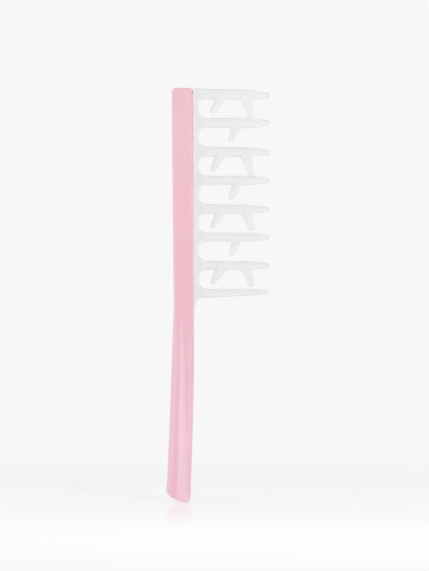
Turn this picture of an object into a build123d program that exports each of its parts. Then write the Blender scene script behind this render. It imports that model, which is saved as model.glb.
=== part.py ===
from build123d import *
import math
import os

# Wide tooth comb: two hollow handle halves that close on the tongue of a tooth plate.
# Millimetres. +Z up along the handle, teeth point to +X, the broad faces look to -Y (front)
# and +Y (back). The halves meet at Y 0. The origin is the bottom centre of the bounding box.
# "Left" is the spine side (-X), "right" the side the teeth stand on (+X).

# ------------------------------------------------------------------ handle dimensions
LENGTH = 230.0            # overall height of the handle
HALF_T = 6.5              # half thickness of the handle (13 mm across its flats)
WALL = 2.4                # shell wall
FLOOR_Y = 4.1             # inside depth of each half shell, measured from the parting plane
CLEAR = 0.08              # assembly clearance around the insert
TOP_RIM = 1.0             # rounding of the rim round the top end

# long edges of the handle as (Z, X) points
LEFT_EDGE = [
    (-8, -29.50), (6.6, -28.81), (24, -27.97), (46, -27.03), (68, -26.24), (90, -25.52),
    (106, -24.80), (110, -24.72), (118, -24.85), (151, -25.18), (196, -25.60), (233, -25.78),
]
RIGHT_EDGE = [
    (2.3, -15.38), (7, -15.29), (24, -14.70), (46, -14.12), (62, -13.72), (73, -13.56),
    (96, -13.52), (116, -13.48), (150, -13.71), (184, -13.92), (233, -14.22),
]
TOP_R_LEFT, TOP_R_RIGHT = 2.0, 1.4        # corner radii of the top end
TAIL_X = -17.70                           # lowest point of the handle
TAIL_WIDTH, TAIL_HEIGHT = 11.12, 6.6      # half axes of the elliptical lower left end
TAIL_R = 2.32                             # lower right corner radius
OUTSIDE_X = -40.0                         # well clear of the spine
ARC_MID = 0.2929          # middle of a quarter arc: its inset from each side, per radius

# rounding of the long edges: "width" runs along X, "depth" along Y
HEAD_ROUND_LEFT, HEAD_ROUND_RIGHT = 2.2, 1.0
GRIP_DEPTH_LEFT, GRIP_WIDTH_RIGHT, GRIP_DEPTH_RIGHT = 5.5, 2.6, 3.2
HEAD_Z, GRIP_Z = 112.0, 76.0              # the head section ends, the full grip section begins

SCOOP = 0.85                              # depth of the finger scoop in the grip
SCOOP_START_Z, SCOOP_FULL_Z = 106.0, 45.0
SCOOP_CURVE_T = (0.0, 0.33, 0.66, 1.0)    # points across the curved side of the scoop
CREASE_X, CREASE_LEAN, CREASE_Z = -20.49, 0.0243, 104.0   # crease leans to the left below CREASE_Z
CREASE_LAND = 0.35                        # flat strip between left rounding and crease, grip
SCOOP_END_X, SCOOP_END_SHIFT = -19.2, 1.9                 # where the curve meets the scoop floor
SCOOP_END_FULL_Z = 50.0

LOFT_BOTTOM, LOFT_HEIGHT, LOFT_STEPS = -3.0, 236.0, 12
PROUD = 0.02              # the loft stands this far past the flat before trimming

# ------------------------------------------------------------------ tooth plate dimensions
INSERT_HALF = 2.55        # half thickness where the taper starts
INSERT_TIP_HALF = 1.4     # half thickness where the taper ends
TAPER_X0, TAPER_X1 = -14.5, 29.5
TAPER_Z, TAPER_HEIGHT = 90.0, 150.0       # block that cuts the taper
INSERT_EDGE = 1.0         # edge rounding of teeth and prongs
PLATE_TOP = 229.95        # top edge of the tooth plate
PLATE_END_Z, PLATE_END_X = 107.7, -12.27  # lower end of the plate and its right edge there
PLATE_END_RISE, PLATE_END_R = 1.2, 1.6    # corner at the lower end
PLATE_END_FILLET = 3.7                    # radius under the last tooth
GAP_X_TOP, GAP_X_BOT = -11.10, -10.66     # bottom of the tooth gaps, first and last
GAP_STEPS = 6.0
GAP_R_TOP, GAP_R_BOT = 3.2, 3.8           # corner radii at the top and bottom of each gap
PRONG_FILLET = 0.8        # small radius where a prong leaves its tooth
KNEE_R = 12.0             # soft bend where the teeth start to taper
ROOT_X, KNEE_X = -7.2, 18.4               # stations of the tooth edge heights below

TONGUE = 8.0              # depth of the tongue in the handle
TONGUE_HALF = 2.45        # half thickness
TONGUE_Z0, TONGUE_Z1 = 108.5, 227.4       # its lower and upper ends
TONGUE_LAP = 0.6          # how far it runs into the tooth plate
TONGUE_R = 1.0            # radius of its two buried corners

# prongs: root left X, root right X, tip centre X, tip centre below the tooth, tip radius
INNER_PRONG = (-2.05, 3.50, -3.05, 6.25, 1.50)
OUTER_PRONG = (12.25, 18.10, 18.30, 7.90, 1.55)
SINGLE_PRONG = (7.05, 12.65, 6.90, 6.35, 1.50)
PAIR, SINGLE = (OUTER_PRONG, INNER_PRONG), (SINGLE_PRONG,)

# teeth, top to bottom: Z of upper and lower edge at the root, Z of upper and lower edge at the
# knee, tip centre Z, tip radius, tip end X, prongs, X shift of the prongs
TEETH = [
    (229.75, 223.75, 229.00, 223.15, 225.60, 1.65, 28.82, PAIR, 0.0),
    (213.45, 207.80, 213.40, 207.60, 210.35, 1.65, 28.80, SINGLE, 0.05),
    (197.55, 191.75, 197.10, 191.55, 194.10, 1.62, 28.76, PAIR, 0.12),
    (181.30, 176.05, 181.30, 176.15, 178.35, 1.60, 28.72, SINGLE, 0.18),
    (165.65, 160.20, 165.10, 160.20, 162.35, 1.55, 28.66, PAIR, 0.25),
    (149.70, 144.70, 149.55, 144.75, 146.90, 1.52, 28.58, SINGLE, 0.30),
    (134.10, 128.95, 133.80, 129.00, 131.15, 1.55, 28.46, PAIR, 0.36),
    (118.45, 113.40, 118.55, 114.50, 116.40, 1.25, 28.25, (), 0.0),
]

# ------------------------------------------------------------------ pins and ribs
HEAD_PINS_Z = [120.0, 153.0, 186.0, 219.0]         # pins that go through the tongue
GRIP_PINS_Z = [92.0, 58.0, 24.0]                   # pins that hold the grip shut
HEAD_PIN_INSET = 4.6                               # head pins, from the right edge
HEAD_PIN_R, HEAD_HOLE_R, HEAD_SOCKET_R = 2.0, 2.15, 2.05
HEAD_BOSS_R = 3.2                                  # back half
HEAD_PAD_R = HEAD_BOSS_R - 0.55                    # front half
GRIP_PIN_R, GRIP_SOCKET_R, GRIP_BOSS_R = 1.5, 1.55, 3.0
HEAD_PIN_START, HEAD_PIN_REACH = 3.0, 4.5          # in front of and behind the parting plane
GRIP_PIN_START, GRIP_PIN_REACH = 1.0, 2.2
HEAD_SOCKET_DEPTH, GRIP_SOCKET_DEPTH = 4.8, 2.6
HEAD_RIBS_Z = [128.0, 136.5, 145.0, 161.0, 169.5, 178.0, 194.0, 202.5, 211.0]
GRIP_RIBS_Z = [104.0, 83.0, 75.0, 67.0, 49.0, 41.0, 33.0, 14.0]
RIB_T = 1.2
RIB_SHORT = 2.0           # ribs are this much shorter than the handle is wide
FLOOR_LAP = 0.2           # how far pads and ribs run into the shell floor
CUT_OVER = 1.0            # how far cutting and trimming bodies overrun

FRONT, BACK = 1, -1       # Plane.XZ faces -Y, so positive offsets go to the front


# ------------------------------------------------------------------ curves
def step(z, z0, z1):
    """Smooth change from 0 at z0 to 1 at z1."""
    t = min(1.0, max(0.0, (z - z0) / (z1 - z0)))
    return t * t * (3.0 - 2.0 * t)


def blend(start, end, share):
    return start + (end - start) * share


def through(knots, z):
    """Smooth curve X(Z) through a list of points: cubic Hermite spans."""
    z = min(max(z, knots[0][0]), knots[-1][0])
    spans = range(len(knots) - 1)
    width = [knots[i + 1][0] - knots[i][0] for i in spans]
    slope = [(knots[i + 1][1] - knots[i][1]) / width[i] for i in spans]
    inner = [
        (slope[i - 1] * width[i] + slope[i] * width[i - 1]) / (width[i] + width[i - 1])
        for i in spans[1:]
    ]
    tangent = [slope[0]] + inner + [slope[-1]]
    i = max(k for k in spans if knots[k][0] <= z)
    t = (z - knots[i][0]) / width[i]
    return (
        (2 * t**3 - 3 * t**2 + 1) * knots[i][1]
        + (t**3 - 2 * t**2 + t) * width[i] * tangent[i]
        + (-2 * t**3 + 3 * t**2) * knots[i + 1][1]
        + (t**3 - t**2) * width[i] * tangent[i + 1]
    )


def left_x(z):
    return through(LEFT_EDGE, z)


def right_x(z):
    return through(RIGHT_EDGE, z)


def middle_x(z):
    return (left_x(z) + right_x(z)) / 2.0


def seam(z):
    """X where the visible tooth plate meets the handle."""
    return right_x(z) + CLEAR


def ellipse_points(center_x, center_y, half_x, half_y, start, end, count=5):
    """Points on an ellipse from angle start to angle end, in degrees."""
    angles = [math.radians(start + (end - start) * i / (count - 1)) for i in range(count)]
    return [(center_x + half_x * math.cos(a), center_y + half_y * math.sin(a)) for a in angles]


def rounded(points):
    """Closed outline of straight lines with each corner (x, z, radius) rounded."""
    count = len(points)
    corners = []                          # start, middle and end of each corner arc
    for i in range(count):
        (px, pz, _), (cx, cz, radius), (nx, nz, _) = points[i - 1], points[i], points[(i + 1) % count]
        before, after = math.hypot(px - cx, pz - cz), math.hypot(nx - cx, nz - cz)
        ux, uz, vx, vz = (px - cx) / before, (pz - cz) / before, (nx - cx) / after, (nz - cz) / after
        half = math.acos(max(-1.0, min(1.0, ux * vx + uz * vz))) / 2.0
        if radius <= 0 or half > math.radians(89.9):
            corners.append(((cx, cz), None, (cx, cz)))
            continue
        trim = radius / math.tan(half)
        bisector = math.hypot(ux + vx, uz + vz)
        bx, bz = (ux + vx) / bisector, (uz + vz) / bisector
        inset = radius / math.sin(half) - radius
        corners.append((
            (cx + ux * trim, cz + uz * trim),
            (cx + bx * inset, cz + bz * inset),
            (cx + vx * trim, cz + vz * trim),
        ))
    for i in range(count):
        start, mid, end = corners[i]
        if mid is not None:
            ThreePointArc(start, mid, end)
        following = corners[(i + 1) % count][0]
        if math.hypot(following[0] - end[0], following[1] - end[1]) > 1e-5:
            Line(end, following)


def apex(point_a, point_b, center, radius):
    """Where the tangents meet that run from two points along the sides of a round tip."""
    def direction(point, sign):
        dx, dz = center[0] - point[0], center[1] - point[1]
        dist = math.hypot(dx, dz)
        turn = sign * math.asin(radius / dist)
        cos, sin = math.cos(turn), math.sin(turn)
        return (dx * cos - dz * sin) / dist, (dx * sin + dz * cos) / dist

    ax, az = direction(point_a, 1)
    bx, bz = direction(point_b, -1)
    dx, dz = point_b[0] - point_a[0], point_b[1] - point_a[1]
    run = (dx * bz - dz * bx) / (ax * bz - az * bx)
    return point_a[0] + ax * run, point_a[1] + az * run


# ------------------------------------------------------------------ outer form of the front half
def section(z):
    """Key sizes of the half cross-section of the handle at height z."""
    grip = step(z, HEAD_Z, GRIP_Z)        # 0 in the head, 1 in the grip
    crease = CREASE_X - CREASE_LEAN * max(0.0, CREASE_Z - z)
    left_width = blend(HEAD_ROUND_LEFT, crease - CREASE_LAND - left_x(z), grip)
    left_depth = blend(HEAD_ROUND_LEFT, GRIP_DEPTH_LEFT, grip)
    right_width = blend(HEAD_ROUND_RIGHT, GRIP_WIDTH_RIGHT, grip)
    right_depth = blend(HEAD_ROUND_RIGHT, GRIP_DEPTH_RIGHT, grip)
    scoop = SCOOP * step(z, SCOOP_START_Z, SCOOP_FULL_Z)
    scoop_end = SCOOP_END_X + SCOOP_END_SHIFT * step(z, SCOOP_START_Z, SCOOP_END_FULL_Z)
    return left_width, left_depth, right_width, right_depth, crease, scoop_end, scoop


def build_handle_half():
    with BuildPart() as half:
        # one loft through level cross-sections, very slightly proud of the flat
        for i in range(LOFT_STEPS + 1):
            z = LOFT_BOTTOM + LOFT_HEIGHT * i / LOFT_STEPS
            xl, xr = left_x(z), right_x(z)
            left_w, left_d, right_w, right_d, crease, scoop_end, scoop = section(z)
            face_y = -(HALF_T + PROUD)
            floor_y = face_y + scoop
            with BuildSketch(Plane.XY.offset(z)):
                with BuildLine():
                    Line((xl, 0), (xl, face_y + left_d))
                    Spline(*ellipse_points(xl + left_w, face_y + left_d, left_w, left_d, 180, 270),
                           tangents=((0, -1), (1, 0)))
                    Line((xl + left_w, face_y), (crease, face_y))
                    Spline(*[(blend(crease, scoop_end, t), face_y + scoop * (2 * t - t**2))
                             for t in SCOOP_CURVE_T])
                    Line((scoop_end, floor_y), (xr - right_w, floor_y))
                    Spline(*ellipse_points(xr - right_w, floor_y + right_d, right_w, right_d,
                                           270, 360),
                           tangents=((1, 0), (0, 1)))
                    Line((xr, floor_y + right_d), (xr, 0))
                    Line((xr, 0), (xl, 0))
                make_face()
        loft()
        # the true flat that the comb rests on, and the rounded rim of the top end
        with BuildSketch(Plane.YZ.offset(OUTSIDE_X)):
            with BuildLine():
                rounded([(CUT_OVER, -10, 0), (CUT_OVER, LENGTH, 0),
                         (-HALF_T, LENGTH, TOP_RIM), (-HALF_T, -10, 0)])
            make_face()
        extrude(amount=-OUTSIDE_X, mode=Mode.INTERSECT)
        # rounded top corners and slanting lower end
        with BuildSketch(Plane.XZ.offset(-CUT_OVER)):
            top_left, top_right = left_x(LENGTH), right_x(LENGTH)
            left_z, right_z = LENGTH - TOP_R_LEFT, LENGTH - TOP_R_RIGHT
            tail = ellipse_points(TAIL_X, TAIL_HEIGHT, TAIL_WIDTH, TAIL_HEIGHT, 270, 180, 9)
            with BuildLine():
                Spline(*tail, tangents=((-1, 0), (0, 1)))
                Line(tail[-1], (OUTSIDE_X, TAIL_HEIGHT))
                Line((OUTSIDE_X, TAIL_HEIGHT), (OUTSIDE_X, left_z))
                Line((OUTSIDE_X, left_z), (top_left, left_z))
                ThreePointArc((top_left, left_z),
                              (top_left + TOP_R_LEFT * ARC_MID, LENGTH - TOP_R_LEFT * ARC_MID),
                              (top_left + TOP_R_LEFT, LENGTH))
                Line((top_left + TOP_R_LEFT, LENGTH), (top_right - TOP_R_RIGHT, LENGTH))
                ThreePointArc((top_right - TOP_R_RIGHT, LENGTH),
                              (top_right - TOP_R_RIGHT * ARC_MID, LENGTH - TOP_R_RIGHT * ARC_MID),
                              (top_right, right_z))
                Line((top_right, right_z), (0, right_z))
                Line((0, right_z), (0, TAIL_R))
                Line((0, TAIL_R), (TAIL_X + TAIL_R, TAIL_R))
                ThreePointArc((TAIL_X + TAIL_R, TAIL_R),
                              (TAIL_X + TAIL_R * (1 - ARC_MID), TAIL_R * ARC_MID), (TAIL_X, 0))
            make_face()
        extrude(amount=HALF_T + 2 * CUT_OVER, mode=Mode.INTERSECT)
    return half.part


# ------------------------------------------------------------------ half shells
def cavity_outline():
    """Inside of the shell, about one wall in from the outline."""
    top = LENGTH - WALL
    return [
        (left_x(top) + WALL, top, 1.0), (right_x(top) - WALL, top, 1.0),
        (right_x(112) - WALL, 112, 0), (right_x(73) - WALL, 73, 0),
        (right_x(7) - WALL, 7, 1.5), (-18.2, 2.4, 1.5), (-23.0, 3.6, 3.0),
        (left_x(9) + WALL, 9, 2.0), (left_x(108) + WALL, 108, 0),
    ]


def slot_outline():
    """Opening in the right wall for the tongue."""
    top, bottom = TONGUE_Z1 + CLEAR, TONGUE_Z0 - CLEAR
    top_x, bottom_x = right_x(228), right_x(110)
    return [(top_x - WALL - 0.5, top, 0), (top_x + 2, top, 0),
            (bottom_x + 2, bottom, 0), (bottom_x - WALL - 0.5, bottom, 0)]


def pin_places(heights):
    """(X, Z) of pins: near the right edge in the head, midway across in the grip."""
    return [(right_x(z) - HEAD_PIN_INSET if z > TONGUE_Z0 else middle_x(z), z) for z in heights]


def build_half_shell(outer, side, head_pad_r):
    """Hollow half with its pads and ribs; side is FRONT or BACK."""
    with BuildPart() as shell:
        add(outer)
        for outline, depth in ((cavity_outline(), FLOOR_Y), (slot_outline(), TONGUE_HALF + CLEAR)):
            with BuildSketch(Plane.XZ.offset(-side * CUT_OVER)):
                with BuildLine():
                    rounded(outline)
                make_face()
            extrude(amount=side * (depth + CUT_OVER), mode=Mode.SUBTRACT)
        # pads and ribs that press on the tongue, then those that meet across the grip
        for pins_z, pad_r, ribs_z, inner_half in (
            (HEAD_PINS_Z, head_pad_r, HEAD_RIBS_Z, TONGUE_HALF),
            (GRIP_PINS_Z, GRIP_BOSS_R, GRIP_RIBS_Z, 0.0),
        ):
            with BuildSketch(Plane.XZ.offset(side * (inner_half + CLEAR))):
                with Locations(*pin_places(pins_z)):
                    Circle(pad_r)
                for z in ribs_z:
                    with Locations((middle_x(z), z)):
                        Rectangle(right_x(z) - left_x(z) - RIB_SHORT, RIB_T)
            extrude(amount=side * (FLOOR_Y - inner_half + FLOOR_LAP))
    return shell.part


def build_front_shell(outer):
    """Front half: carries the pins."""
    with BuildPart() as shell:
        add(build_half_shell(outer, FRONT, HEAD_PAD_R))
        for pins_z, radius, start, reach in (
            (HEAD_PINS_Z, HEAD_PIN_R, HEAD_PIN_START, HEAD_PIN_REACH),
            (GRIP_PINS_Z, GRIP_PIN_R, GRIP_PIN_START, GRIP_PIN_REACH),
        ):
            with BuildSketch(Plane.XZ.offset(start)):
                with Locations(*pin_places(pins_z)):
                    Circle(radius)
            extrude(amount=-(start + reach))
    return shell.part


def build_back_shell(outer):
    """Back half: carries the sockets."""
    with BuildPart() as shell:
        add(build_half_shell(outer, BACK, HEAD_BOSS_R))
        for pins_z, radius, depth in (
            (HEAD_PINS_Z, HEAD_SOCKET_R, HEAD_SOCKET_DEPTH),
            (GRIP_PINS_Z, GRIP_SOCKET_R, GRIP_SOCKET_DEPTH),
        ):
            with BuildSketch(Plane.XZ):
                with Locations(*pin_places(pins_z)):
                    Circle(radius)
            extrude(amount=-depth, mode=Mode.SUBTRACT)
    return shell.part


# ------------------------------------------------------------------ tooth plate
def edge_z(root_z, knee_z, x):
    """Z at x on a straight tooth edge given at ROOT_X and KNEE_X."""
    return root_z + (knee_z - root_z) * (x - ROOT_X) / (KNEE_X - ROOT_X)


def gap_x(gap):
    return blend(GAP_X_TOP, GAP_X_BOT, gap / GAP_STEPS)


def plate_outline():
    """The visible tooth plate, clockwise seen from the front, from its top corner at the seam."""
    points = [(seam(PLATE_TOP), PLATE_TOP, 0.0)]
    last = len(TEETH) - 1
    for i, tooth in enumerate(TEETH):
        top_root, bot_root, top_knee, bot_knee, tip_z, tip_r, tip_x, prongs, shift = tooth
        if i > 0:
            x = gap_x(i - 1)
            points.append((x, edge_z(top_root, top_knee, x), GAP_R_BOT))
        knee_top, knee_bot = (KNEE_X, top_knee), (KNEE_X, bot_knee)
        points.append((*knee_top, KNEE_R))
        points.append((*apex(knee_top, knee_bot, (tip_x - tip_r, tip_z), tip_r), tip_r))
        # an outer prong takes the place of the lower knee
        if OUTER_PRONG not in prongs:
            points.append((*knee_bot, KNEE_R))
        for left, right, center, drop, radius in prongs:
            left, right, center = left + shift, right + shift, center + shift
            root_right = (right, edge_z(bot_root, bot_knee, right))
            root_left = (left, edge_z(bot_root, bot_knee, left))
            tip = (center, edge_z(bot_root, bot_knee, center) - drop)
            points.append((*root_right, PRONG_FILLET))
            points.append((*apex(root_right, root_left, tip, radius), radius))
            points.append((*root_left, PRONG_FILLET))
        x, radius = (gap_x(i), GAP_R_TOP) if i < last else (PLATE_END_X, PLATE_END_FILLET)
        points.append((x, edge_z(bot_root, bot_knee, x), radius))
    points.append((PLATE_END_X, PLATE_END_Z + PLATE_END_RISE, PLATE_END_R))
    points.append((seam(PLATE_END_Z), PLATE_END_Z, 0.0))
    return points


def build_comb_insert():
    blank_half = INSERT_HALF + 0.5        # trimmed by the taper
    with BuildPart() as insert:
        with BuildSketch(Plane.XZ.offset(-blank_half)):
            with BuildLine():
                rounded(plate_outline())
            make_face()
        extrude(amount=2 * blank_half)
        # the teeth thin evenly from the handle to their tips
        with BuildSketch(Plane.XY.offset(TAPER_Z)):
            Polygon((TAPER_X0, -INSERT_HALF), (TAPER_X1, -INSERT_TIP_HALF),
                    (TAPER_X1, INSERT_TIP_HALF), (TAPER_X0, INSERT_HALF), align=None)
        extrude(amount=TAPER_HEIGHT, mode=Mode.INTERSECT)
        # round every edge of the broad faces but the ones along the seam
        broad = faces().filter_by(lambda f: abs(f.normal_at().Y) > 0.9)
        rim = [e for f in broad for e in f.edges()
               if not all(abs(v.X - seam(v.Z)) < 0.02 for v in e.vertices())]
        fillet(rim, INSERT_EDGE)
        # hidden tongue that the two handle halves close on
        with BuildSketch(Plane.XZ.offset(-TONGUE_HALF)):
            with BuildLine():
                rounded([(right_x(TONGUE_Z1) - TONGUE, TONGUE_Z1, TONGUE_R),
                         (seam(TONGUE_Z1) + TONGUE_LAP, TONGUE_Z1, 0),
                         (seam(TONGUE_Z0) + TONGUE_LAP, TONGUE_Z0, 0),
                         (right_x(TONGUE_Z0) - TONGUE, TONGUE_Z0, TONGUE_R)])
            make_face()
        extrude(amount=2 * TONGUE_HALF)
        with BuildSketch(Plane.XZ.offset(-TONGUE_HALF - CUT_OVER)):
            with Locations(*pin_places(HEAD_PINS_Z)):
                Circle(HEAD_HOLE_R)
        extrude(amount=2 * (TONGUE_HALF + CUT_OVER), mode=Mode.SUBTRACT)
    return insert.part


# ------------------------------------------------------------------ export
handle_half = build_handle_half()
pieces = {
    "front_shell": build_front_shell(handle_half),
    "back_shell": build_back_shell(mirror(handle_half, about=Plane.XZ)),
    "comb_insert": build_comb_insert(),
}
os.makedirs("parts", exist_ok=True)
for name, piece in pieces.items():
    piece.label = name
    export_step(piece, f"parts/{name}.step")
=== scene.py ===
"""Comb standing upright on the lower end of its handle.

Z runs up the handle, the teeth point to +X, and the two halves of the handle meet at Y = 0
with the front half towards -Y. Shapes are in millimetres until their mesh is made; materials,
lights and camera are in metres.
"""
import bmesh
import bpy
import math
import numpy as np
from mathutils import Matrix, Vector


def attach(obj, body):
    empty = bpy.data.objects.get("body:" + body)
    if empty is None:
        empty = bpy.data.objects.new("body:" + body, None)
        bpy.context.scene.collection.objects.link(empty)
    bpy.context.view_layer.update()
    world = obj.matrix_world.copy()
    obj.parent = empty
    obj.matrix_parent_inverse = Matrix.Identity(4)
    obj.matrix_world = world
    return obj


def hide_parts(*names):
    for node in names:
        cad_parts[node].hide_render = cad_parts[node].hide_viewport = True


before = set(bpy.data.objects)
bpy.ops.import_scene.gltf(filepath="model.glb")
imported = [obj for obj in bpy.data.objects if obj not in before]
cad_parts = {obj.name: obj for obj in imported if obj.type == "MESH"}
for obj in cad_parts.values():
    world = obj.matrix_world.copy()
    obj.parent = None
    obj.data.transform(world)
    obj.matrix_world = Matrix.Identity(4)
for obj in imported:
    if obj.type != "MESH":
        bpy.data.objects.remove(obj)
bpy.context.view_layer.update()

QUARTER = math.pi / 2

# ---------------------------------------------------------------- handle sizes
LENGTH = 229.8
HALF_THICKNESS = 6.5
# (z, x) stations along each edge of the handle
LEFT_EDGE = [
    (232.0, -25.77), (196.0, -25.60), (151.0, -25.18), (118.0, -24.85), (110.0, -24.72),
    (106.0, -24.80), (90.0, -25.52), (68.0, -26.24), (46.0, -27.03), (26.6, -27.86),
    (18.8, -28.16), (11.1, -28.58), (7.5, -29.00)]
RIGHT_EDGE = [
    (232.0, -14.21), (184.0, -13.92), (150.0, -13.71), (116.0, -13.48), (96.0, -13.52),
    (73.0, -13.56), (62.0, -13.72), (46.0, -14.12), (24.0, -14.70), (7.0, -15.29),
    (2.3, -15.38)]
TOP_LEFT_R, TOP_RIGHT_R = 2.0, 1.4
# lower end: a superellipse quarter on the left, a circle quarter on the right
FOOT_HEIGHT, FOOT_LEFT_X, FOOT_REACH = 7.5, -18.14, 10.86
FOOT_POWER_X, FOOT_POWER_Z = 1.52, 2.17
FOOT_X, FOOT_R = -17.70, 2.32

PART_GAP = 0.02               # from each half to the parting plane
CHAMFER = 0.12                # chamfer depth in Y beside the parting plane
CHAMFER_WIDTH = 0.09
SLOT_HALF = 2.5               # half depth in Y of the slot that takes the plate
GRIP_SPAN = (116, 78)         # z range where the head turns into the grip, going down
HEAD_SPAN = (150, 205)        # z range where the right rim changes, going up
LIP_LOW, LIP_HIGH = (104, 112), (176, 222)
LIP_LEAN_LOW, LIP_LEAN_HIGH = 0.06, 0.44
CREASE_X, CREASE_TOP, CREASE_DRIFT = -20.49, 104.0, 0.0243
FACET_TOP, FACET_LENGTH, FACET_SPREAD, FACET_SLOPE = 106.0, 92.0, 0.064, 0.158

# rims of the broad face: width across the face and depth in Y, with their changes by region
LEFT_RIM, LEFT_RIM_WIDEST, LEFT_RIM_FOOT = 2.2, 5.2, 3.4
LEFT_RIM_TO_CREASE = 0.9
LEFT_DEPTH, LEFT_DEPTH_GRIP, LEFT_DEPTH_FOOT = 2.2, 3.0, 1.6
RIGHT_RIM, RIGHT_RIM_GRIP, RIGHT_RIM_HEAD = 1.0, 1.8, 0.5
RIGHT_DEPTH, RIGHT_DEPTH_GRIP, RIGHT_DEPTH_HEAD = 1.0, 0.5, 1.3
TOP_RIM, TOP_DEPTH = 1.1, 1.0
LOW_RIM, LOW_DEPTH = 1.7, 1.7

# ---------------------------------------------------------------- tooth plate sizes
PLATE_TOP = LENGTH
PLATE_HIDDEN_X = -24.0        # left side of the outline, under the handle
PLATE_TOP_CORNER = (-14.1, PLATE_TOP, 3.0)    # x, z, radius
TAIL_X, TAIL_Z, TAIL_FILLET = -12.27, 107.7, 3.7
TAIL_CORNER_RISE, TAIL_CORNER_R = 1.2, 1.6
TAIL_HIDDEN_RUN, TAIL_HIDDEN_DROP = 5.0, 3.8
SEAM_OVERLAP = 0.05
TONGUE_X, TONGUE_Z0, TONGUE_Z1 = -17.4, 108.5, 227.4
SLOT_Z0, SLOT_Z1 = TONGUE_Z0 - 0.05, TONGUE_Z1 + 0.05

ROOT_X, KNEE_X = -7.2, 18.4   # where the tooth edge heights below are given
ROOT_TO_KNEE = KNEE_X - ROOT_X
KNEE_R = 12.0
FIRST_GAP_X, LAST_GAP_X = -11.10, -10.66      # left end of the gaps between teeth
GAP_UPPER_R, GAP_LOWER_R = 3.6, 4.2
# one row per tooth from the top: z of the top and bottom edge at the root, the same at the
# knee, tip z, tip radius, tip x, and the ridge as a share of the tooth below its top edge
TEETH = np.array([
    (229.75, 223.75, 229.00, 223.15, 225.66, 1.52, 28.82, 0.58),
    (213.45, 207.80, 213.40, 207.60, 210.40, 1.55, 28.80, 0.56),
    (197.55, 191.75, 197.10, 191.55, 194.15, 1.51, 28.76, 0.57),
    (181.30, 176.05, 181.30, 176.15, 178.36, 1.56, 28.72, 0.57),
    (165.65, 160.20, 165.10, 160.20, 162.41, 1.43, 28.66, 0.57),
    (149.70, 144.70, 149.55, 144.75, 146.96, 1.40, 28.58, 0.57),
    (134.10, 128.95, 133.80, 129.00, 131.18, 1.49, 28.46, 0.58),
    (118.45, 113.40, 118.55, 114.65, 116.48, 1.10, 28.25, 0.66)])
ROOT_TOP, ROOT_LOW, KNEE_TOP, KNEE_LOW, TIP_Z, TIP_R, TIP_X, RIDGE = TEETH.T

# Prongs hanging from the teeth: root x, tip x, tip drop below the tooth, root radius,
# tip radius, share of PRONG_SHIFT, share of PRONG_LONGER
PAIR_PRONGS = [(0.68, -2.89, 6.22, 2.58, 1.66, 1.0, 0.0),
               (15.25, 18.27, 7.80, 2.74, 1.74, 0.5, 1.0)]
SINGLE_PRONG = [(9.78, 6.95, 6.30, 2.55, 1.56, 1.0, 0.0)]
# for each toothed gap from the top
PRONG_LONGER = [0.3, 0.0, 0.55, 0.0, 0.0, 0.0, -0.08]
PRONG_SHIFT = [0.0, 0.05, 0.12, 0.18, 0.25, 0.30, 0.36]
PRONG_RISE = 2.1              # how far a prong is carried up into its tooth
PRONG_RISE_TAPER = 0.6
PRONG_FLATNESS = 0.86         # squeeze in Y where the plate is PRONG_HALF_REF half thick
PRONG_HALF_REF = 2.1
PRONG_BLEND = 1.3

HALF_ROOT, HALF_TIP = 2.45, 1.35              # half thickness of the plate in Y
THINNING_X, THINNING_RUN, THINNING_POWER = -13.0, 41.0, 1.1
ROOF_DROP, ROOF_SOFTNESS = 0.34, 0.16         # fall from the ridge; roundness of the ridge
ROOF_SPAN = (-11.0, -2.5)
PLATE_RIM = 0.75


# ---------------------------------------------------------------- curves and outlines
def curve_through(stations):
    """Smooth curve x(z) through (z, x) stations, level with its ends beyond them."""
    knot_z, knot_x = np.array(sorted(stations)).T
    span = np.diff(knot_z)
    slope = np.diff(knot_x) / span
    tangent = np.empty_like(knot_x)
    tangent[0], tangent[-1] = slope[0], slope[-1]
    tangent[1:-1] = ((slope[:-1] * span[1:] + slope[1:] * span[:-1])
                     / (span[1:] + span[:-1]))

    def curve(z):
        z = np.clip(z, knot_z[0], knot_z[-1])
        i = np.clip(np.searchsorted(knot_z, z) - 1, 0, len(knot_z) - 2)
        h = knot_z[i + 1] - knot_z[i]
        t = (z - knot_z[i]) / h
        return ((2 * t**3 - 3 * t**2 + 1) * knot_x[i] + (t**3 - 2 * t**2 + t) * h * tangent[i]
                + (-2 * t**3 + 3 * t**2) * knot_x[i + 1] + (t**3 - t**2) * h * tangent[i + 1])
    return curve


left_x = curve_through(LEFT_EDGE)
right_x = curve_through(RIGHT_EDGE)


def smooth(value, start, end):
    """Soft step from 0 at start to 1 at end."""
    t = np.clip((value - start) / (end - start), 0, 1)
    return t * t * (3 - 2 * t)


def rounded(corners, step=0.25):
    """Closed polyline through corners (x, z, radius), with arcs divided about every step."""
    line = []
    for i, (x, z, radius) in enumerate(corners):
        corner = np.array([x, z])
        back = np.array(corners[i - 1][:2]) - corner
        back /= np.linalg.norm(back)
        ahead = np.array(corners[(i + 1) % len(corners)][:2]) - corner
        ahead /= np.linalg.norm(ahead)
        half = math.acos(max(-1.0, min(1.0, float(back @ ahead)))) / 2
        if radius <= 0 or half > math.radians(89.9):
            line.append(corner)
            continue
        middle = (back + ahead) / np.linalg.norm(back + ahead)
        centre = corner + middle * (radius / math.sin(half))
        first = corner + back * (radius / math.tan(half)) - centre
        last = corner + ahead * (radius / math.tan(half)) - centre
        start = math.atan2(first[1], first[0])
        sweep = math.atan2(last[1], last[0]) - start
        sweep = (sweep + math.pi) % (2 * math.pi) - math.pi
        count = max(2, int(abs(sweep) * radius / step) + 1)
        for j in range(count + 1):
            angle = start + sweep * j / count
            line.append(centre + radius * np.array([math.cos(angle), math.sin(angle)]))
    return np.array(line)


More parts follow.
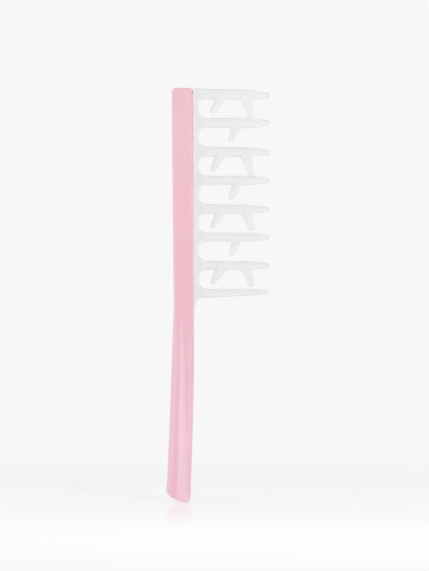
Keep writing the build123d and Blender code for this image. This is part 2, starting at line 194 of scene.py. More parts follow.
def tangent_apex(upper, lower, centre, radius):
    """Where the lines from two points meet that touch a circle on its two sides."""
    def direction(point, sign):
        dx, dz = centre[0] - point[0], centre[1] - point[1]
        reach = math.hypot(dx, dz)
        turn = sign * math.asin(radius / reach)
        return ((dx * math.cos(turn) - dz * math.sin(turn)) / reach,
                (dx * math.sin(turn) + dz * math.cos(turn)) / reach)
    ax, az = direction(upper, 1)
    bx, bz = direction(lower, -1)
    cross = ax * (-bz) + bx * az
    t = ((lower[0] - upper[0]) * (-bz) + bx * (lower[1] - upper[1])) / cross
    return upper[0] + ax * t, upper[1] + az * t


class Outline:
    """Closed polyline in X and Z that can be measured against."""
    SLAB = 5.0                # points are taken in slabs of this height in z
    REACH = 7.0               # a slab meets only the edges this near to it in z
    BATCH = 12000             # most points taken at once

    def __init__(self, points):
        keep = [i for i in range(len(points))
                if np.hypot(*(points[i] - points[i - 1])) > 1e-6]
        self.start = points[keep]
        self.end = np.roll(self.start, -1, axis=0)
        self.edge = self.end - self.start
        self.length2 = (self.edge ** 2).sum(1)
        area = 0.5 * float((self.start[:, 0] * self.end[:, 1]
                            - self.end[:, 0] * self.start[:, 1]).sum())
        normal = (np.stack([self.edge[:, 1], -self.edge[:, 0]], 1)
                  / np.sqrt(self.length2)[:, None])
        self.normal = normal if area > 0 else -normal

    def measure(self, x, z):
        """Signed distance, negative inside, and the outward direction at the nearest point."""
        shape = np.shape(x)
        points = np.stack([np.ravel(x), np.ravel(z)], 1)
        distance = np.empty(len(points))
        outward = np.empty((len(points), 2))
        order = np.argsort(points[:, 1], kind="stable")
        heights = points[order, 1]
        low = np.minimum(self.start[:, 1], self.end[:, 1])
        high = np.maximum(self.start[:, 1], self.end[:, 1])
        first = 0
        while first < len(points):
            last = min(int(np.searchsorted(heights, heights[first] + self.SLAB, side="right")),
                       first + self.BATCH)
            near = np.flatnonzero((high > heights[first] - self.REACH)
                                  & (low < heights[last - 1] + self.REACH))
            if len(near) == 0:
                near = np.arange(len(self.start))
            a, b, edge = self.start[near], self.end[near], self.edge[near]
            batch = order[first:last]
            px, pz = points[batch, 0:1], points[batch, 1:2]
            t = (((px - a[:, 0]) * edge[:, 0] + (pz - a[:, 1]) * edge[:, 1])
                 / self.length2[near])
            np.clip(t, 0, 1, out=t)
            dx = px - a[:, 0] - t * edge[:, 0]
            dz = pz - a[:, 1] - t * edge[:, 1]
            squared = dx * dx + dz * dz
            nearest = squared.argmin(1)
            rows = np.arange(len(batch))
            gap = np.sqrt(squared[rows, nearest])
            spans = (a[:, 1] > pz) != (b[:, 1] > pz)
            rise = np.where(edge[:, 1] == 0, 1e-12, edge[:, 1])
            crossing = a[:, 0] + (pz - a[:, 1]) * edge[:, 0] / rise
            inside = (spans & (px < crossing)).sum(1) % 2 == 1
            sign = np.where(inside, -1.0, 1.0)
            distance[batch] = gap * sign
            away = np.stack([dx[rows, nearest], dz[rows, nearest]], 1) * sign[:, None]
            # right on the line the offset has no direction, so the edge's normal is used
            outward[batch] = np.where((gap < 1e-4)[:, None], self.normal[near][nearest],
                                      away / np.maximum(gap, 1e-9)[:, None])
            first = last
        return distance.reshape(shape), outward.reshape(shape + (2,))


# ---------------------------------------------------------------- handle halves
def top_corner(x, z, radius, inward):
    """Edge x with the top corner rounded; inward is +1 on the left edge, -1 on the right."""
    up = np.clip(z - (LENGTH - radius), 0, radius)
    arc = np.sqrt(np.clip(radius**2 - up**2, 0, None))
    return np.where(z > LENGTH - radius, x + inward * radius - inward * arc, x)


def handle_left(z):
    """Left edge of the handle, with its rounded lower end and top corner."""
    u = np.clip(FOOT_HEIGHT - z, 0, FOOT_HEIGHT) / FOOT_HEIGHT
    bulge = np.clip(1 - u**FOOT_POWER_Z, 0, 1) ** (1 / FOOT_POWER_X)
    foot = np.where(u < 1, FOOT_LEFT_X - FOOT_REACH * bulge, FOOT_X)
    return top_corner(np.where(z < FOOT_HEIGHT, foot, left_x(z)), z, TOP_LEFT_R, 1)


def handle_right(z):
    """Right edge of the handle, with its rounded lower end and top corner."""
    x = right_x(z)
    down = np.clip(FOOT_R - z, 0, FOOT_R)
    foot = FOOT_X + np.sqrt(np.clip(FOOT_R**2 - down ** 2, 0, None))
    return top_corner(np.where(z < FOOT_R, np.minimum(foot, x), x), z, TOP_RIGHT_R, -1)


def lip_lean(z):
    """How far the side of the lip next to the teeth leans back at its outer edge."""
    return LIP_LEAN_LOW * smooth(z, *LIP_LOW) + LIP_LEAN_HIGH * smooth(z, *LIP_HIGH)


def foot_heights(height, count):
    return height * (1 - np.cos(np.linspace(0, QUARTER, count)))


def edge_heights(low, low_count, top, top_count):
    """Heights along an edge, closer together over its lower and upper curve."""
    return np.concatenate([
        foot_heights(low, low_count),
        np.linspace(low, LENGTH - top, 220)[1:],
        LENGTH - top + top * np.sin(np.linspace(0, QUARTER, top_count))[1:]])


def handle_outline():
    zl = edge_heights(FOOT_HEIGHT, 40, TOP_LEFT_R, 16)
    zr = edge_heights(FOOT_R, 20, TOP_RIGHT_R, 14)
    left = np.stack([handle_left(zl), zl], 1)
    right = np.stack([handle_right(zr) - lip_lean(zr), zr], 1)
    return np.concatenate([left, right[::-1]])


handle_shape = Outline(handle_outline())


def crease_x(z):
    return CREASE_X - CREASE_DRIFT * np.maximum(0.0, CREASE_TOP - z)


def facet_width(z):
    """Width of the facet to the right of the crease; it opens downward."""
    return FACET_SPREAD * np.clip(FACET_TOP - z, 0, FACET_LENGTH)


def face_height(x, z):
    """Distance of the broad face from the parting plane, falling at the facet and rims."""
    grip, head = smooth(z, *GRIP_SPAN), smooth(z, *HEAD_SPAN)
    left_rim = np.clip(crease_x(z) - LEFT_RIM_TO_CREASE - left_x(z), LEFT_RIM, LEFT_RIM_WIDEST)
    left_rim = LEFT_RIM + (left_rim - LEFT_RIM) * grip
    left_rim = left_rim - (left_rim - LEFT_RIM_FOOT) * smooth(z, 18, 5)
    left_depth = LEFT_DEPTH + LEFT_DEPTH_GRIP * grip - LEFT_DEPTH_FOOT * smooth(z, 18, 3)
    right_rim = RIGHT_RIM + RIGHT_RIM_GRIP * grip + RIGHT_RIM_HEAD * head
    right_depth = RIGHT_DEPTH + RIGHT_DEPTH_GRIP * grip + RIGHT_DEPTH_HEAD * head

    # each rim counts by how far the nearest edge faces its way: left, right, up, down
    distance, outward = handle_shape.measure(x, z)
    nx, nz = outward[..., 0], outward[..., 1]
    shares = [np.where(facing, n ** 2, 0)
              for facing, n in ((nx < 0, nx), (nx > 0, nx), (nz > 0, nz), (nz < 0, nz))]
    rim = sum(s * size for s, size in zip(shares, (left_rim, right_rim, TOP_RIM, LOW_RIM)))
    depth = sum(s * size
                for s, size in zip(shares, (left_depth, right_depth, TOP_DEPTH, LOW_DEPTH)))

    # the facet slopes down from the crease and ends in a softened corner
    across = np.clip(x - crease_x(z), 0, None)
    width = facet_width(z)
    soft = 0.35 * width + 1e-6
    near = np.clip(soft - np.abs(across - width), 0, None)
    fall = np.clip(np.minimum(across, width) - near * near / (4 * soft), 0, None)
    into_rim = np.clip(1 - np.clip(-distance, 0, None) / rim, 0, 1)
    return (HALF_THICKNESS - FACET_SLOPE * fall
            - depth * (1 - np.sqrt(np.clip(1 - into_rim**2, 0, 1))))


def ring_heights():
    """Heights of the handle's rings, with a close pair at each end of the plate's slot."""
    zs = np.concatenate([
        foot_heights(FOOT_HEIGHT, 26),
        np.linspace(FOOT_HEIGHT, 226.5, 132)[1:],
        LENGTH - 3.5 * (1 - np.sin(np.linspace(0, QUARTER, 22)))[1:]])
    pairs = [end + side * 1e-4 for end in (SLOT_Z0, SLOT_Z1) for side in (-1, 1)]
    zs = np.array([z for z in zs if min(abs(z - other) for other in pairs) > 0.12])
    return np.sort(np.concatenate([zs, pairs]))


def handle_ring(z):
    """Points (x, y) around one half at height z, and which are on the wall by the teeth."""
    left, right = float(handle_left(z)), float(handle_right(z))
    face_right = max(left, right - float(lip_lean(z)))
    width = face_right - left
    grip = float(smooth(z, *GRIP_SPAN))
    left_rim = min(2.3 + 3.0 * grip, 0.42 * width)
    right_rim = min(1.1 + 1.8 * grip + 0.5 * float(smooth(z, *HEAD_SPAN)), 0.30 * width)
    flat_end = face_right - right_rim
    crease = min(max(float(crease_x(z)), left + left_rim + 0.05 * width),
                 flat_end - 0.12 * width)
    facet_end = min(max(crease + 1.3 * float(facet_width(z)),
                        crease + 0.3 * (flat_end - crease)),
                    flat_end - 0.15 * (flat_end - crease))
    beside = min(0.10, 0.02 * width)
    xs = np.concatenate([
        left + left_rim * (1 - np.cos(np.linspace(0, 1, 15)[:-1] * math.pi / 2)),
        np.linspace(left + left_rim, crease - beside, 4),
        [crease],
        np.linspace(crease + beside, facet_end, 9),
        np.linspace(facet_end, flat_end, 4)[1:],
        flat_end + right_rim * np.sin(np.linspace(0, 1, 11)[1:] * math.pi / 2)])
    ys = face_height(xs, np.full(len(xs), z))
    y_left, y_right = float(ys[0]), float(ys[-1])

    base = SLOT_HALF if SLOT_Z0 < z < SLOT_Z1 else PART_GAP
    step_x = TONGUE_X - 0.3   # where the slot steps down to the parting plane
    if not left + 0.4 < step_x < right - 0.2:
        step_x = 0.5 * (left + right)
    chamfer = min(CHAMFER_WIDTH, 0.1 * width)
    points = [(left + chamfer, PART_GAP), (left, PART_GAP + CHAMFER)]
    points += [(left, PART_GAP + CHAMFER + (y_left - PART_GAP - CHAMFER) * k / 5)
               for k in range(1, 5)]
    points += list(zip(xs, ys))
    points += [(face_right + (right - face_right) * k / 5,
                y_right + (base + CHAMFER - y_right) * k / 5) for k in range(1, 6)]
    points += [(right - chamfer, base), (step_x, base), (step_x, PART_GAP)]
    on_wall = [0.0] * (6 + len(xs)) + [float(z > SLOT_Z0)] * 5 + [0.0] * 3
    return points, on_wall


def solid(name, points, faces, sharp_angle, seam_wall=None):
    """Smooth object from points in millimetres.

    A handle half passes seam_wall, a value per point; the points that coincide where its
    rings shrink are then welded.
    """
    mesh = bpy.data.meshes.new(name)
    mesh.from_pydata([tuple(point) for point in points * 0.001], [], faces)
    bm = bmesh.new()
    if seam_wall is not None:
        attribute = mesh.attributes.new("seam_wall", "FLOAT", "POINT")
        attribute.data.foreach_set("value", seam_wall)
    bm.from_mesh(mesh)
    if seam_wall is not None:
        bmesh.ops.remove_doubles(bm, verts=bm.verts, dist=4e-6)
        bmesh.ops.dissolve_degenerate(bm, dist=2e-6, edges=bm.edges)
        loose = [v for v in bm.verts if not v.link_faces]
        bmesh.ops.delete(bm, geom=loose, context="VERTS")
    bmesh.ops.recalc_face_normals(bm, faces=bm.faces)
    bm.to_mesh(mesh)
    bm.free()
    piece = bpy.data.objects.new(name, mesh)
    bpy.context.scene.collection.objects.link(piece)
    mesh.polygons.foreach_set("use_smooth", np.ones(len(mesh.polygons), bool))
    mesh.set_sharp_from_angle(angle=math.radians(sharp_angle))
    return piece


def handle_half(name, side):
    """One half of the handle; side is -1 for the front half and +1 for the back half."""
    rings, walls = [], []
    for z in ring_heights():
        points, on_wall = handle_ring(z)
        rings.append([(x, side * y, z) for x, y in points])
        walls.append(on_wall)
    count, around = len(rings), len(rings[0])
    faces = []
    for i in range(count - 1):
        low, high = i * around, (i + 1) * around
        for j in range(around):
            k = (j + 1) % around
            faces.append((low + j, low + k, high + k, high + j))
    faces.append([(count - 1) * around + j for j in range(around)])
    if side < 0:
        faces = [face[::-1] for face in faces]
    return solid(name, np.array(rings).reshape(-1, 3), faces, sharp_angle=38,
                 seam_wall=np.array(walls, np.float32).ravel())


# ---------------------------------------------------------------- tooth plate
def edge_z(root, knee, x):
    """Height at x of a tooth edge given by its heights at the root and the knee."""
    return root + (knee - root) / ROOT_TO_KNEE * (x - ROOT_X)


def gap_x(gap):
    return FIRST_GAP_X + (LAST_GAP_X - FIRST_GAP_X) * gap / (len(TEETH) - 2)


def plate_outline():
    """Tooth plate without its prongs; its left side runs on under the lip of the handle."""
    corners = [(PLATE_HIDDEN_X, PLATE_TOP, 0.0), PLATE_TOP_CORNER]
    last = len(TEETH) - 1
    for i in range(len(TEETH)):
        if i > 0:
            x = gap_x(i - 1)
            corners.append((x, edge_z(ROOT_TOP[i], KNEE_TOP[i], x), GAP_LOWER_R))
        upper, lower = (KNEE_X, KNEE_TOP[i]), (KNEE_X, KNEE_LOW[i])
        tip = tangent_apex(upper, lower, (TIP_X[i] - TIP_R[i], TIP_Z[i]), TIP_R[i])
        corners += [(*upper, KNEE_R), (*tip, TIP_R[i]), (*lower, KNEE_R)]
        x, radius = (gap_x(i), GAP_UPPER_R) if i < last else (TAIL_X, TAIL_FILLET)
        corners.append((x, edge_z(ROOT_LOW[i], KNEE_LOW[i], x), radius))
    corners += [(TAIL_X, TAIL_Z + TAIL_CORNER_RISE, TAIL_CORNER_R),
                (TAIL_X - TAIL_HIDDEN_RUN, TAIL_Z - TAIL_HIDDEN_DROP, 0.0),
                (PLATE_HIDDEN_X, TAIL_Z - TAIL_HIDDEN_DROP, 0.0)]
    return rounded(corners)


plate_shape = Outline(plate_outline())


def tooth_edges(x):
    """Upper and lower edge of every tooth at x, ignoring the rounded root."""
    x = x[..., None]
    s = np.clip((x - ROOT_X) / ROOT_TO_KNEE, 0, 1)
    top = ROOT_TOP + (KNEE_TOP - ROOT_TOP) * s
    low = ROOT_LOW + (KNEE_LOW - ROOT_LOW) * s
    k = np.clip((x - KNEE_X) / (TIP_X - TIP_R - KNEE_X), 0, 1.2)
    return top + (TIP_Z + TIP_R - KNEE_TOP) * k, low + (TIP_Z - TIP_R - KNEE_LOW) * k


def plate_half(x, z):
    """Half thickness of the plate: flat along the spine, a soft roof along each tooth."""
    thinning = np.clip((x - THINNING_X) / THINNING_RUN, 0, 1) ** THINNING_POWER
    base = HALF_ROOT + (HALF_TIP - HALF_ROOT) * thinning
    top, low = tooth_edges(x)
    ridge = top - (top - low) * RIDGE
    above = z[..., None] - ridge
    off_ridge = np.maximum(above / (top - ridge), (ridge - z[..., None]) / (ridge - low))
    nearest = np.abs(above).argmin(-1)
    u = np.take_along_axis(off_ridge, nearest[..., None], -1)[..., 0]
    u = np.clip(u, 0, 1.25)
    e = ROOF_SOFTNESS
    roof = (np.sqrt(u * u + e * e) - e) / (math.sqrt(1 + e * e) - e)
    return base - ROOF_DROP * base * smooth(x, *ROOF_SPAN) * roof


def place_prongs():
    """Every prong as (start, tip, start radius, tip radius, squeeze in Y)."""
    placed = []
    for i, (shift, longer) in enumerate(zip(PRONG_SHIFT, PRONG_LONGER)):
        for x0, x1, drop, r0, r1, shift_share, longer_share in (
                SINGLE_PRONG if i % 2 else PAIR_PRONGS):
            z0 = edge_z(ROOT_LOW[i], KNEE_LOW[i], x0)
            z1 = edge_z(ROOT_LOW[i], KNEE_LOW[i], x1) - drop - longer * longer_share
            x0, x1 = x0 + shift * shift_share, x1 + shift * shift_share
            # carry the prong up into its tooth, towards the ridge
            dx, dz = x0 - x1, z0 - z1
            length = math.hypot(dx, dz)
            start = (x0 + dx / length * PRONG_RISE, z0 + dz / length * PRONG_RISE)
            start_r = r0 + (r0 - r1) / length * PRONG_RISE * PRONG_RISE_TAPER
            half = (HALF_ROOT
                    + (HALF_TIP - HALF_ROOT) * ((start[0] - THINNING_X) / THINNING_RUN))
            squeeze = PRONG_FLATNESS * half / PRONG_HALF_REF
            placed.append((start, (x1, z1), start_r, r1, squeeze))
    return placed


PRONGS = place_prongs()


def prong_field(x, y, z, start, tip, start_r, tip_r, squeeze):
    """Distance-like field of a tapered round prong, flattened in Y by squeeze."""
    px, py, pz = x - start[0], y / squeeze, z - start[1]
    bx, bz = tip[0] - start[0], tip[1] - start[1]
    length2 = bx * bx + bz * bz
    length = math.sqrt(length2)
    t = (px * bx + pz * bz) / length2
    qx, qz = px - bx * t, pz - bz * t
    off_axis = np.sqrt(qx * qx + qz * qz + py * py)
    # shifted along the axis so that the field is the true distance to the tapered flank
    sine = (start_r - tip_r) / length
    cosine = math.sqrt(1 - sine * sine)
    t = np.clip(t + off_axis * sine / cosine / length, 0, 1)
    rx, rz = px - bx * t, pz - bz * t
    return np.sqrt(rx * rx + rz * rz + py * py) - (start_r + (tip_r - start_r) * t)


def soft_min(a, b, blend):
    h = np.clip(blend - np.abs(a - b), 0, None) / blend
    return np.minimum(a, b) - h * h * h * blend / 6.0


def plate_field(x, y, z, distance, half):
    """Zero on the surface of the tooth plate, negative inside, close to a distance.

    distance is taken from the plate's outline and half is its half thickness at x, z.
    """
    into_rim = np.clip(1 + distance / PLATE_RIM, 0, None)
    off_plane = np.abs(y) / half
    k0 = np.sqrt(into_rim * into_rim + off_plane * off_plane)
    k1 = np.sqrt((into_rim / PLATE_RIM) ** 2 + (off_plane / half) ** 2) + 1e-9
    field = np.where(k0 < 1e-3, -half, k0 * (k0 - 1) / k1)
    for prong in PRONGS:
        (x0, z0), (x1, z1) = prong[:2]
        near = ((x > min(x0, x1) - 4.5) & (x < max(x0, x1) + 4.5)
                & (z > z1 - 3.5) & (z < z0 + 4.5))
        added = prong_field(x[near], y[near], z[near], *prong)
        field[near] = soft_min(field[near], added, PRONG_BLEND)
    # left of the seam only the tongue remains
    off_tongue = np.maximum(np.maximum(TONGUE_Z0 - z, z - TONGUE_Z1), TONGUE_X - x)
    return np.maximum(field, np.minimum(right_x(z) + SEAM_OVERLAP - x, off_tongue))


def surface_net(field):
    """Points, in grid cells, and quads of the zero surface of a field on a grid."""
    inside = field < 0
    nx, ny, nz = field.shape
    corners = [(i, j, k) for k in (0, 1) for j in (0, 1) for i in (0, 1)]
    count_inside = np.zeros((nx - 1, ny - 1, nz - 1), int)
    for i, j, k in corners:
        count_inside += inside[i:nx - 1 + i, j:ny - 1 + j, k:nz - 1 + k]
    active = (count_inside > 0) & (count_inside < 8)
    cells = np.argwhere(active)
    index = -np.ones(active.shape, int)
    index[active] = np.arange(len(cells))

    # a cell's point is the mean of the places where the surface crosses its edges
    total = np.zeros((len(cells), 3))
    count = np.zeros(len(cells))
    for corner in corners:
        for axis in range(3):
            if corner[axis]:
                continue
            other = list(corner)
            other[axis] = 1
            here = field[tuple((cells + corner).T)]
            there = field[tuple((cells + other).T)]
            cross = (here < 0) != (there < 0)
            place = np.array(corner, float)[None, :].repeat(len(cells), 0)
            place[:, axis] = np.where(cross, here / np.where(cross, here - there, 1.0), 0.0)
            total += np.where(cross[:, None], place, 0)
            count += cross
    points = cells + total / count[:, None]

    # a quad joins the four cells around each grid edge that the surface crosses
    quads = []
    for axis in range(3):
        u, v = [k for k in range(3) if k != axis]
        here, there = [slice(None)] * 3, [slice(None)] * 3
        here[axis], there[axis] = slice(0, -1), slice(1, None)
        starts_inside = inside[tuple(here)]
        edges = np.argwhere(starts_inside != inside[tuple(there)])
        edges = edges[(edges[:, u] > 0) & (edges[:, v] > 0)
                      & (edges[:, u] < inside.shape[u] - 1)
                      & (edges[:, v] < inside.shape[v] - 1)]
        around = []
        for du, dv in ((0, 0), (1, 0), (1, 1), (0, 1)):
            cell = edges.copy()
            cell[:, u] -= du
            cell[:, v] -= dv
            around.append(index[tuple(cell.T)])
        quad = np.stack(around, 1)
        forward = starts_inside[tuple(edges.T)]
        keep = forward if axis != 1 else ~forward
        quad[~keep] = quad[~keep][:, ::-1]
        quads.append(quad)
    return points, np.concatenate(quads)


def pull_to_surface(points, step=0.004, limit=0.25, rounds=3):
    """Move points along the field's slope, measured over step, onto its zero surface."""
    for _ in range(rounds):
        x, y, z = points[:, 0], points[:, 1], points[:, 2]
        distance, outward = plate_shape.measure(x, z)
        half = plate_half(x, z)
        here = plate_field(x, y, z, distance, half)
        slope = [
            (plate_field(x + step, y, z, distance + step * outward[:, 0],
                         plate_half(x + step, z)) - here) / step,
            (plate_field(x, y + step, z, distance, half) - here) / step,
            (plate_field(x, y, z + step, distance + step * outward[:, 1],
                         plate_half(x, z + step)) - here) / step]
        steepness2 = slope[0] * slope[0] + slope[1] * slope[1] + slope[2] * slope[2] + 1e-6
        move = np.clip(here / steepness2, -limit, limit)
        points -= np.stack([part * move for part in slope], 1) * 0.95


def tooth_plate(name, cell):
    x = np.arange(TONGUE_X - 0.5 * cell - 0.6, 29.4, cell)
    y = (np.arange(20) - 9.5) * cell
    z = np.arange(TAIL_Z - 0.9, PLATE_TOP + 0.9, cell)
    grid_x, grid_z = np.meshgrid(x, z, indexing="ij")
    distance, _ = plate_shape.measure(grid_x, grid_z)
    half = plate_half(grid_x, grid_z)
    field = np.empty((len(x), len(y), len(z)))
    for j in range(len(y)):
        field[:, j, :] = plate_field(grid_x, np.full_like(grid_x, y[j]), grid_z,
                                     distance, half)
    net, quads = surface_net(field)
    points = np.stack([x[0] + net[:, 0] * cell, y[0] + net[:, 1] * cell,
                       z[0] + net[:, 2] * cell], 1)
    pull_to_surface(points)
    faces = [tuple(int(k) for k in quad) for quad in quads]
    return solid(name, points, faces, sharp_angle=50)


front = handle_half("handle_front_half", -1)
back = handle_half("handle_back_half", 1)
plate = tooth_plate("tooth_plate_moulding", 0.33)

for piece, cad_node, slot in ((front, "front_shell", "handle_front"),
                              (back, "back_shell", "handle_back"),
                              (plate, "comb_insert", "tooth_plate")):
    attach(piece, "root")
    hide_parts(cad_node)


# ---------------------------------------------------------------- shader helpers
def empty_tree(owner):
    owner.use_nodes = True
    owner.node_tree.nodes.clear()
    return owner.node_tree


def node(tree, kind, inputs=(), **settings):
    """Add a node; an input may be a value, a socket, or a node for its first output."""
    made = tree.nodes.new("ShaderNode" + kind)
    for key, value in settings.items():
        setattr(made, key, value)
    for key, value in dict(inputs).items():
        if isinstance(value, bpy.types.Node):
            value = value.outputs[0]
        if isinstance(value, bpy.types.NodeSocket):
            tree.links.new(value, made.inputs[key])
        else:
            made.inputs[key].default_value = value
    return made


def maths(tree, operation, *values):
    return node(tree, "Math", enumerate(values), operation=operation)


def remap(tree, value, source, target, kind="LINEAR"):
    """Carry the source range onto the target range."""
    return node(tree, "MapRange", {
        "From Min": source[0], "From Max": source[1],
        "To Min": target[0], "To Max": target[1], "Value": value}, interpolation_type=kind)


def mix_colour(tree, factor, a, b, blend="MIX"):
    mix = node(tree, "Mix", data_type="RGBA", blend_type=blend)
    for key, value in (("Factor", factor), ("A", a), ("B", b)):
        if isinstance(value, tuple):
            mix.inputs[key].default_value = value
        else:
            tree.links.new(value, mix.inputs[key])
    return mix.outputs["Result"]


def separate(tree, vector):
    return node(tree, "SeparateXYZ", {0: vector}).outputs


# ---------------------------------------------------------------- plastics
# painted light and shade: tints multiplied into the pink of the handle
# painted shade: deeper pink where the grip faces straight ahead
BROAD_PAINTED_SHADE = (1.003, 0.958, 0.994, 1)
# painted highlight: lighter, bluer pink where the grip's rims turn away
RIM_PAINTED_HIGHLIGHT = (1.037, 1.073, 1.105, 1)
# painted highlight: paler pink on the facet that slopes right of the crease
FACET_PAINTED_HIGHLIGHT = (0.972, 1.035, 1.035, 1)
# painted shade: darker where the facet starts, toning down its highlight
FACET_START_PAINTED_SHADE = (0.93, 0.93, 0.93, 1)
# painted highlight: lighter pink where the grip turns to its right edge
RIGHT_SIDE_PAINTED_HIGHLIGHT = (1.05, 1.01, 0.985, 1)
# painted highlight: lighter lower end, as if lit from the floor below
FOOT_PAINTED_HIGHLIGHT = (1.01, 1.10, 1.08, 1)
# painted shade: dark orange-red of the lip wall as the camera sees it
WALL_PAINTED_SHADE = (0.95, 0.32, 0.26, 1)         # lip wall as the camera sees it
WALL_BOUNCE = (0.92, 0.88, 0.88, 1)       # lip wall as it lights the teeth
WHITE = (0.80, 0.805, 0.805)
# painted light: the white beside the seam is brightened against the lip's shade
SEAM_PAINTED_LIGHT = 1.06                          # brightening of the white beside the seam


def pink_painted_light(tree, place, colour):
    """Paint light and shade into the handle's pink by region, and paint shade onto the lip
    wall that faces the teeth.
    """
    z = separate(tree, place)["Z"]
    normal = separate(tree, node(tree, "NewGeometry").outputs["Normal"])
    broad = maths(tree, "ABSOLUTE", normal["Y"])
    grip = remap(tree, z, (0.20, 0.12), (0.0, 1.0))
    foot = remap(tree, z, (0.0050, 0.0012), (0.0, 1.0))
    facet_start = maths(tree, "MULTIPLY", remap(tree, z, (0.045, 0.075), (0.0, 1.0)),
                        remap(tree, z, (0.105, 0.125), (1.0, 0.0)))
    # region, value that grades the tint inside it, that value's range, strength, tint
    for region, value, source, strength, tint in (
            (grip, broad, (0.60, 0.97), (0.0, 1.0), BROAD_PAINTED_SHADE),
            (grip, broad, (0.60, 0.97), (1.0, 0.0), RIM_PAINTED_HIGHLIGHT),
            (grip, normal["X"], (0.07, 0.14), (0.0, 1.0), FACET_PAINTED_HIGHLIGHT),
            (facet_start, normal["X"], (0.07, 0.14), (0.0, 0.7), FACET_START_PAINTED_SHADE),
            (grip, normal["X"], (0.22, 0.55), (0.0, 1.0), RIGHT_SIDE_PAINTED_HIGHLIGHT),
            (foot, broad, (0.00, 1.00), (1.0, 1.0), FOOT_PAINTED_HIGHLIGHT)):
        factor = maths(tree, "MULTIPLY", region, remap(tree, value, source, strength))
        colour = mix_colour(tree, factor.outputs[0], colour, tint, "MULTIPLY")

    # painted shade: seen by the camera along the seam the wall turns dark orange-red, most
    # where it slants away; other rays meet a pale copy, so it throws little onto the teeth
    wall = node(tree, "Attribute", attribute_name="seam_wall").outputs["Fac"]
    slant = node(tree, "LayerWeight", {"Blend": 0.5}).outputs["Facing"]
    seen = node(tree, "LightPath").outputs["Is Camera Ray"]
    amount = maths(tree, "MAXIMUM", remap(tree, slant, (0.50, 0.82), (0.0, 1.0)),
                   remap(tree, seen, (0.0, 1.0), (1.0, 0.0)))
    return mix_colour(tree, maths(tree, "MULTIPLY", wall, amount).outputs[0], colour,
                      mix_colour(tree, seen, WALL_BOUNCE, WALL_PAINTED_SHADE))


def seam_painted_light(tree, place, colour):
    """Paint light onto the white of the plate beside the seam, against the shade of the
    handle's lip.
    """
    near = remap(tree, separate(tree, place)["X"], (-0.0136, -0.0112), (1.0, 0.0))
    return mix_colour(tree, near.outputs[0], colour,
                      tuple(c * SEAM_PAINTED_LIGHT for c in WHITE) + (1,))


def plastic(name, colour, paint_light_by_region, roughness, specular, subsurface, scatter_scale, scatter):
    """Moulded plastic, uneven in colour and gloss; light and shade are painted into its colour
    by region by the function passed after the colour.
    """
    material = bpy.data.materials.new(name)
    tree = empty_tree(material)
    place = node(tree, "TexCoord").outputs["Object"]

    def noise(scale, detail, roughness=0.5, stretch=None):
        vector = place
        if stretch:
            vector = node(tree, "Mapping", {"Scale": stretch, "Vector": place})
        return node(tree, "TexNoise", {"Scale": scale, "Detail": detail,
                                       "Roughness": roughness, "Vector": vector})

    # broad clouding of the melt and faint flow lines along the part
    cloud = remap(tree, noise(scale=38, detail=3), (0.2, 0.8), (-0.15, 0.75))
    flow = remap(tree, noise(scale=90, detail=2, stretch=(1.0, 1.0, 0.12)),
                 (0.2, 0.8), (-0.10, 0.50))
    darker = tuple(c * 0.975 for c in colour) + (1,)
    lighter = tuple(min(1.0, c * 1.018) for c in colour) + (1,)
    clouded = mix_colour(tree, maths(tree, "ADD", cloud, flow).outputs[0], darker, lighter)

    # relief: a fine orange-peel and hairline rub marks along the length
    peel = node(tree, "Bump", {"Strength": 0.10, "Distance": 0.00003,
                               "Height": noise(scale=900, detail=2)})
    rub = noise(scale=1400, detail=3, roughness=0.6, stretch=(1.0, 1.0, 0.035))
    relief = node(tree, "Bump", {"Strength": 0.12, "Distance": 0.00002, "Normal": peel,
                                 "Height": remap(tree, rub, (0.62, 0.75), (0.0, 1.0))})
    # gloss dulled here and there
    dull = remap(tree, noise(scale=60, detail=1.5), (0.15, 0.90),
                 (roughness - 0.008, roughness + 0.012))
    surface = node(tree, "BsdfPrincipled", {
        "Base Color": paint_light_by_region(tree, place, clouded), "Roughness": dull, "IOR": 1.5,
        "Specular IOR Level": specular, "Subsurface Weight": subsurface,
        "Subsurface Radius": scatter, "Subsurface Scale": scatter_scale, "Normal": relief})
    node(tree, "OutputMaterial", {0: surface})
    return material


pink = plastic("pink_abs", (0.838, 0.515, 0.583), pink_painted_light, roughness=0.285, specular=0.5,
               subsurface=0.12, scatter_scale=0.0012, scatter=(1.0, 0.55, 0.5))
white = plastic("white_nylon", WHITE, seam_painted_light, roughness=0.50, specular=0.28,
                subsurface=0.40, scatter_scale=0.0022, scatter=(1.0, 0.9, 0.85))
front.data.materials.append(pink)
back.data.materials.append(pink)
plate.data.materials.append(white)

# ---------------------------------------------------------------- floor and surroundings
PALE = 0.93                   # tone that the floor and surroundings share
WORLD_LEVEL = 0.750
WORLD_TILT = (-0.14, 0.14, -0.06)     # how the surroundings brighten along each axis
WORLD_AHEAD = 0.46            # how much dimmer they are towards -Y
FLOOR_LIFT = 0.245            # own light of the floor near the comb
FLOOR_GLOW = 0.915            # level of the floor as it lights the comb
FLOOR_SHINE = 0.30            # share of mirror reflection near the comb
CLEAR = (1, 1, 1, 1)


def emission(tree, strength):
    return node(tree, "Emission", {"Color": CLEAR, "Strength": strength})


def glossy(tree, roughness):
    return node(tree, "BsdfGlossy", {"Color": CLEAR, "Roughness": roughness})


def mix_shader(tree, factor, a, b):
    return node(tree, "MixShader", {0: factor, 1: a, 2: b})


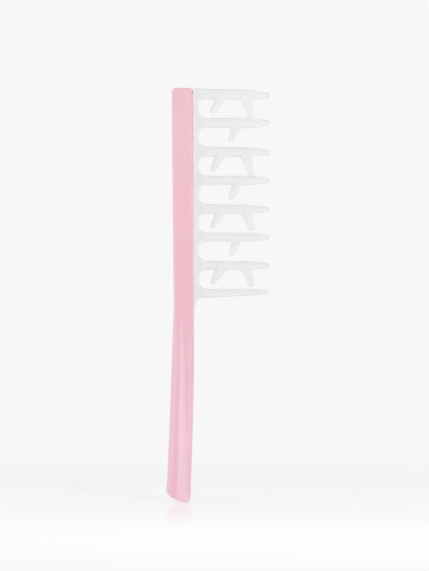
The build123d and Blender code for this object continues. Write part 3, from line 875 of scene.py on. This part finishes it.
def floor_material():
    material = bpy.data.materials.new("studio_floor")
    tree = empty_tree(material)
    position = node(tree, "NewGeometry").outputs["Position"]
    away = node(tree, "VectorMath", {0: position}, operation="LENGTH").outputs["Value"]
    path = node(tree, "LightPath").outputs

    # what the camera sees: a lit, slightly mirroring floor that fades to the even pale tone
    diffuse = node(tree, "BsdfDiffuse", {"Color": (0.80, 0.80, 0.80, 1)})
    matt = node(tree, "AddShader", {0: diffuse, 1: emission(tree, FLOOR_LIFT)})
    level = emission(tree, PALE - WORLD_LEVEL * (1 + WORLD_TILT[1]))
    shine = node(tree, "AddShader", {0: glossy(tree, 0.035), 1: level})
    shine_share = remap(tree, away, (0.08, 0.30), (FLOOR_SHINE, 0.0), "SMOOTHSTEP")
    near = mix_shader(tree, shine_share, matt, shine)
    far_share = remap(tree, away, (0.20, 0.75), (0.0, 1.0), "SMOOTHSTEP")
    seen = mix_shader(tree, far_share, near, emission(tree, PALE))

    # what every other ray meets: an even glow, with a soft mirror for glossy rays
    fresnel = node(tree, "Fresnel", {"IOR": 1.45})
    mirror_share = maths(tree, "MULTIPLY", fresnel, path["Is Glossy Ray"])
    table = mix_shader(tree, mirror_share, emission(tree, FLOOR_GLOW), glossy(tree, 0.12))
    surface = mix_shader(tree, path["Is Camera Ray"], table, seen)
    node(tree, "OutputMaterial", {0: surface})
    return material


def build_world():
    """Even pale tone for the camera; tilted, dimmer light towards -Y for all other rays."""
    world = bpy.data.worlds.new("studio")
    bpy.context.scene.world = world
    tree = empty_tree(world)
    way = node(tree, "TexCoord").outputs["Generated"]
    tilt = node(tree, "VectorMath", {0: way, 1: WORLD_TILT}, operation="DOT_PRODUCT")
    ahead = maths(tree, "MINIMUM", separate(tree, way)["Y"], 0.0)
    dimming = maths(tree, "MULTIPLY", maths(tree, "MULTIPLY", ahead, ahead), -WORLD_AHEAD)
    level = maths(tree, "ADD", maths(tree, "ADD", tilt.outputs["Value"], 1.0), dimming)
    strength = maths(tree, "MULTIPLY", maths(tree, "MAXIMUM", level, 0.0), WORLD_LEVEL)
    lit = node(tree, "Background", {0: CLEAR, 1: strength})
    seen = node(tree, "Background", {0: (PALE, PALE, PALE, 1), 1: 1.0})
    is_camera = node(tree, "LightPath").outputs["Is Camera Ray"]
    node(tree, "OutputWorld", {0: mix_shader(tree, is_camera, lit, seen)})


bpy.ops.mesh.primitive_plane_add(size=24, location=(0, 0, -0.00005))
floor = bpy.context.object
floor.name = "studio_floor"
floor.data.materials.append(floor_material())
build_world()

# ---------------------------------------------------------------- lights and camera
LIGHT_TARGET = (-0.01, 0.0, 0.12)
# name, place, size, power, colour
SOFTBOXES = [
    ("key_right", (0.32, -1.08, 0.20), (0.18, 0.80), 4.4, (1, 1, 1)),
    ("edge_right", (1.10, -0.30, 0.22), (0.14, 0.80), 1.5, (1, 1, 1)),
    ("side_left", (-1.02, -0.50, 0.25), (0.62, 0.9), 2.40, (0.95, 0.98, 1.0)),
    ("overhead", (0.0, -0.45, 1.20), (0.9, 0.6), 0.97, (1, 1, 1)),
    ("rim_back", (0.1, 1.2, 0.7), (0.9, 0.6), 0.9, (1, 1, 1)),
]
LENS, SENSOR = 300, 36        # real millimetres
VIEW_SIZE = 0.31707           # extent in view at the comb
VIEW_X, VIEW_Z = -0.00217, 0.12033

scene = bpy.context.scene
for name, place, size, power, colour in SOFTBOXES:
    light = bpy.data.lights.new(name, "AREA")
    light.shape = "RECTANGLE"
    light.size, light.size_y = size
    light.energy = power
    light.color = colour
    softbox = bpy.data.objects.new(name, light)
    softbox.location = place
    aim = Vector(LIGHT_TARGET) - Vector(place)
    softbox.rotation_euler = aim.to_track_quat("-Z", "Y").to_euler()
    softbox.visible_camera = False
    scene.collection.objects.link(softbox)

lens = bpy.data.cameras.new("camera")
lens.lens = LENS
lens.sensor_width = SENSOR
lens.clip_end = 100
camera = bpy.data.objects.new("camera", lens)
scene.collection.objects.link(camera)
camera.location = (VIEW_X, -(VIEW_SIZE / 2 / (SENSOR / 2 / LENS)), VIEW_Z)
camera.rotation_euler = (math.radians(90), 0, 0)
scene.camera = camera
scene.view_settings.view_transform = "Standard"
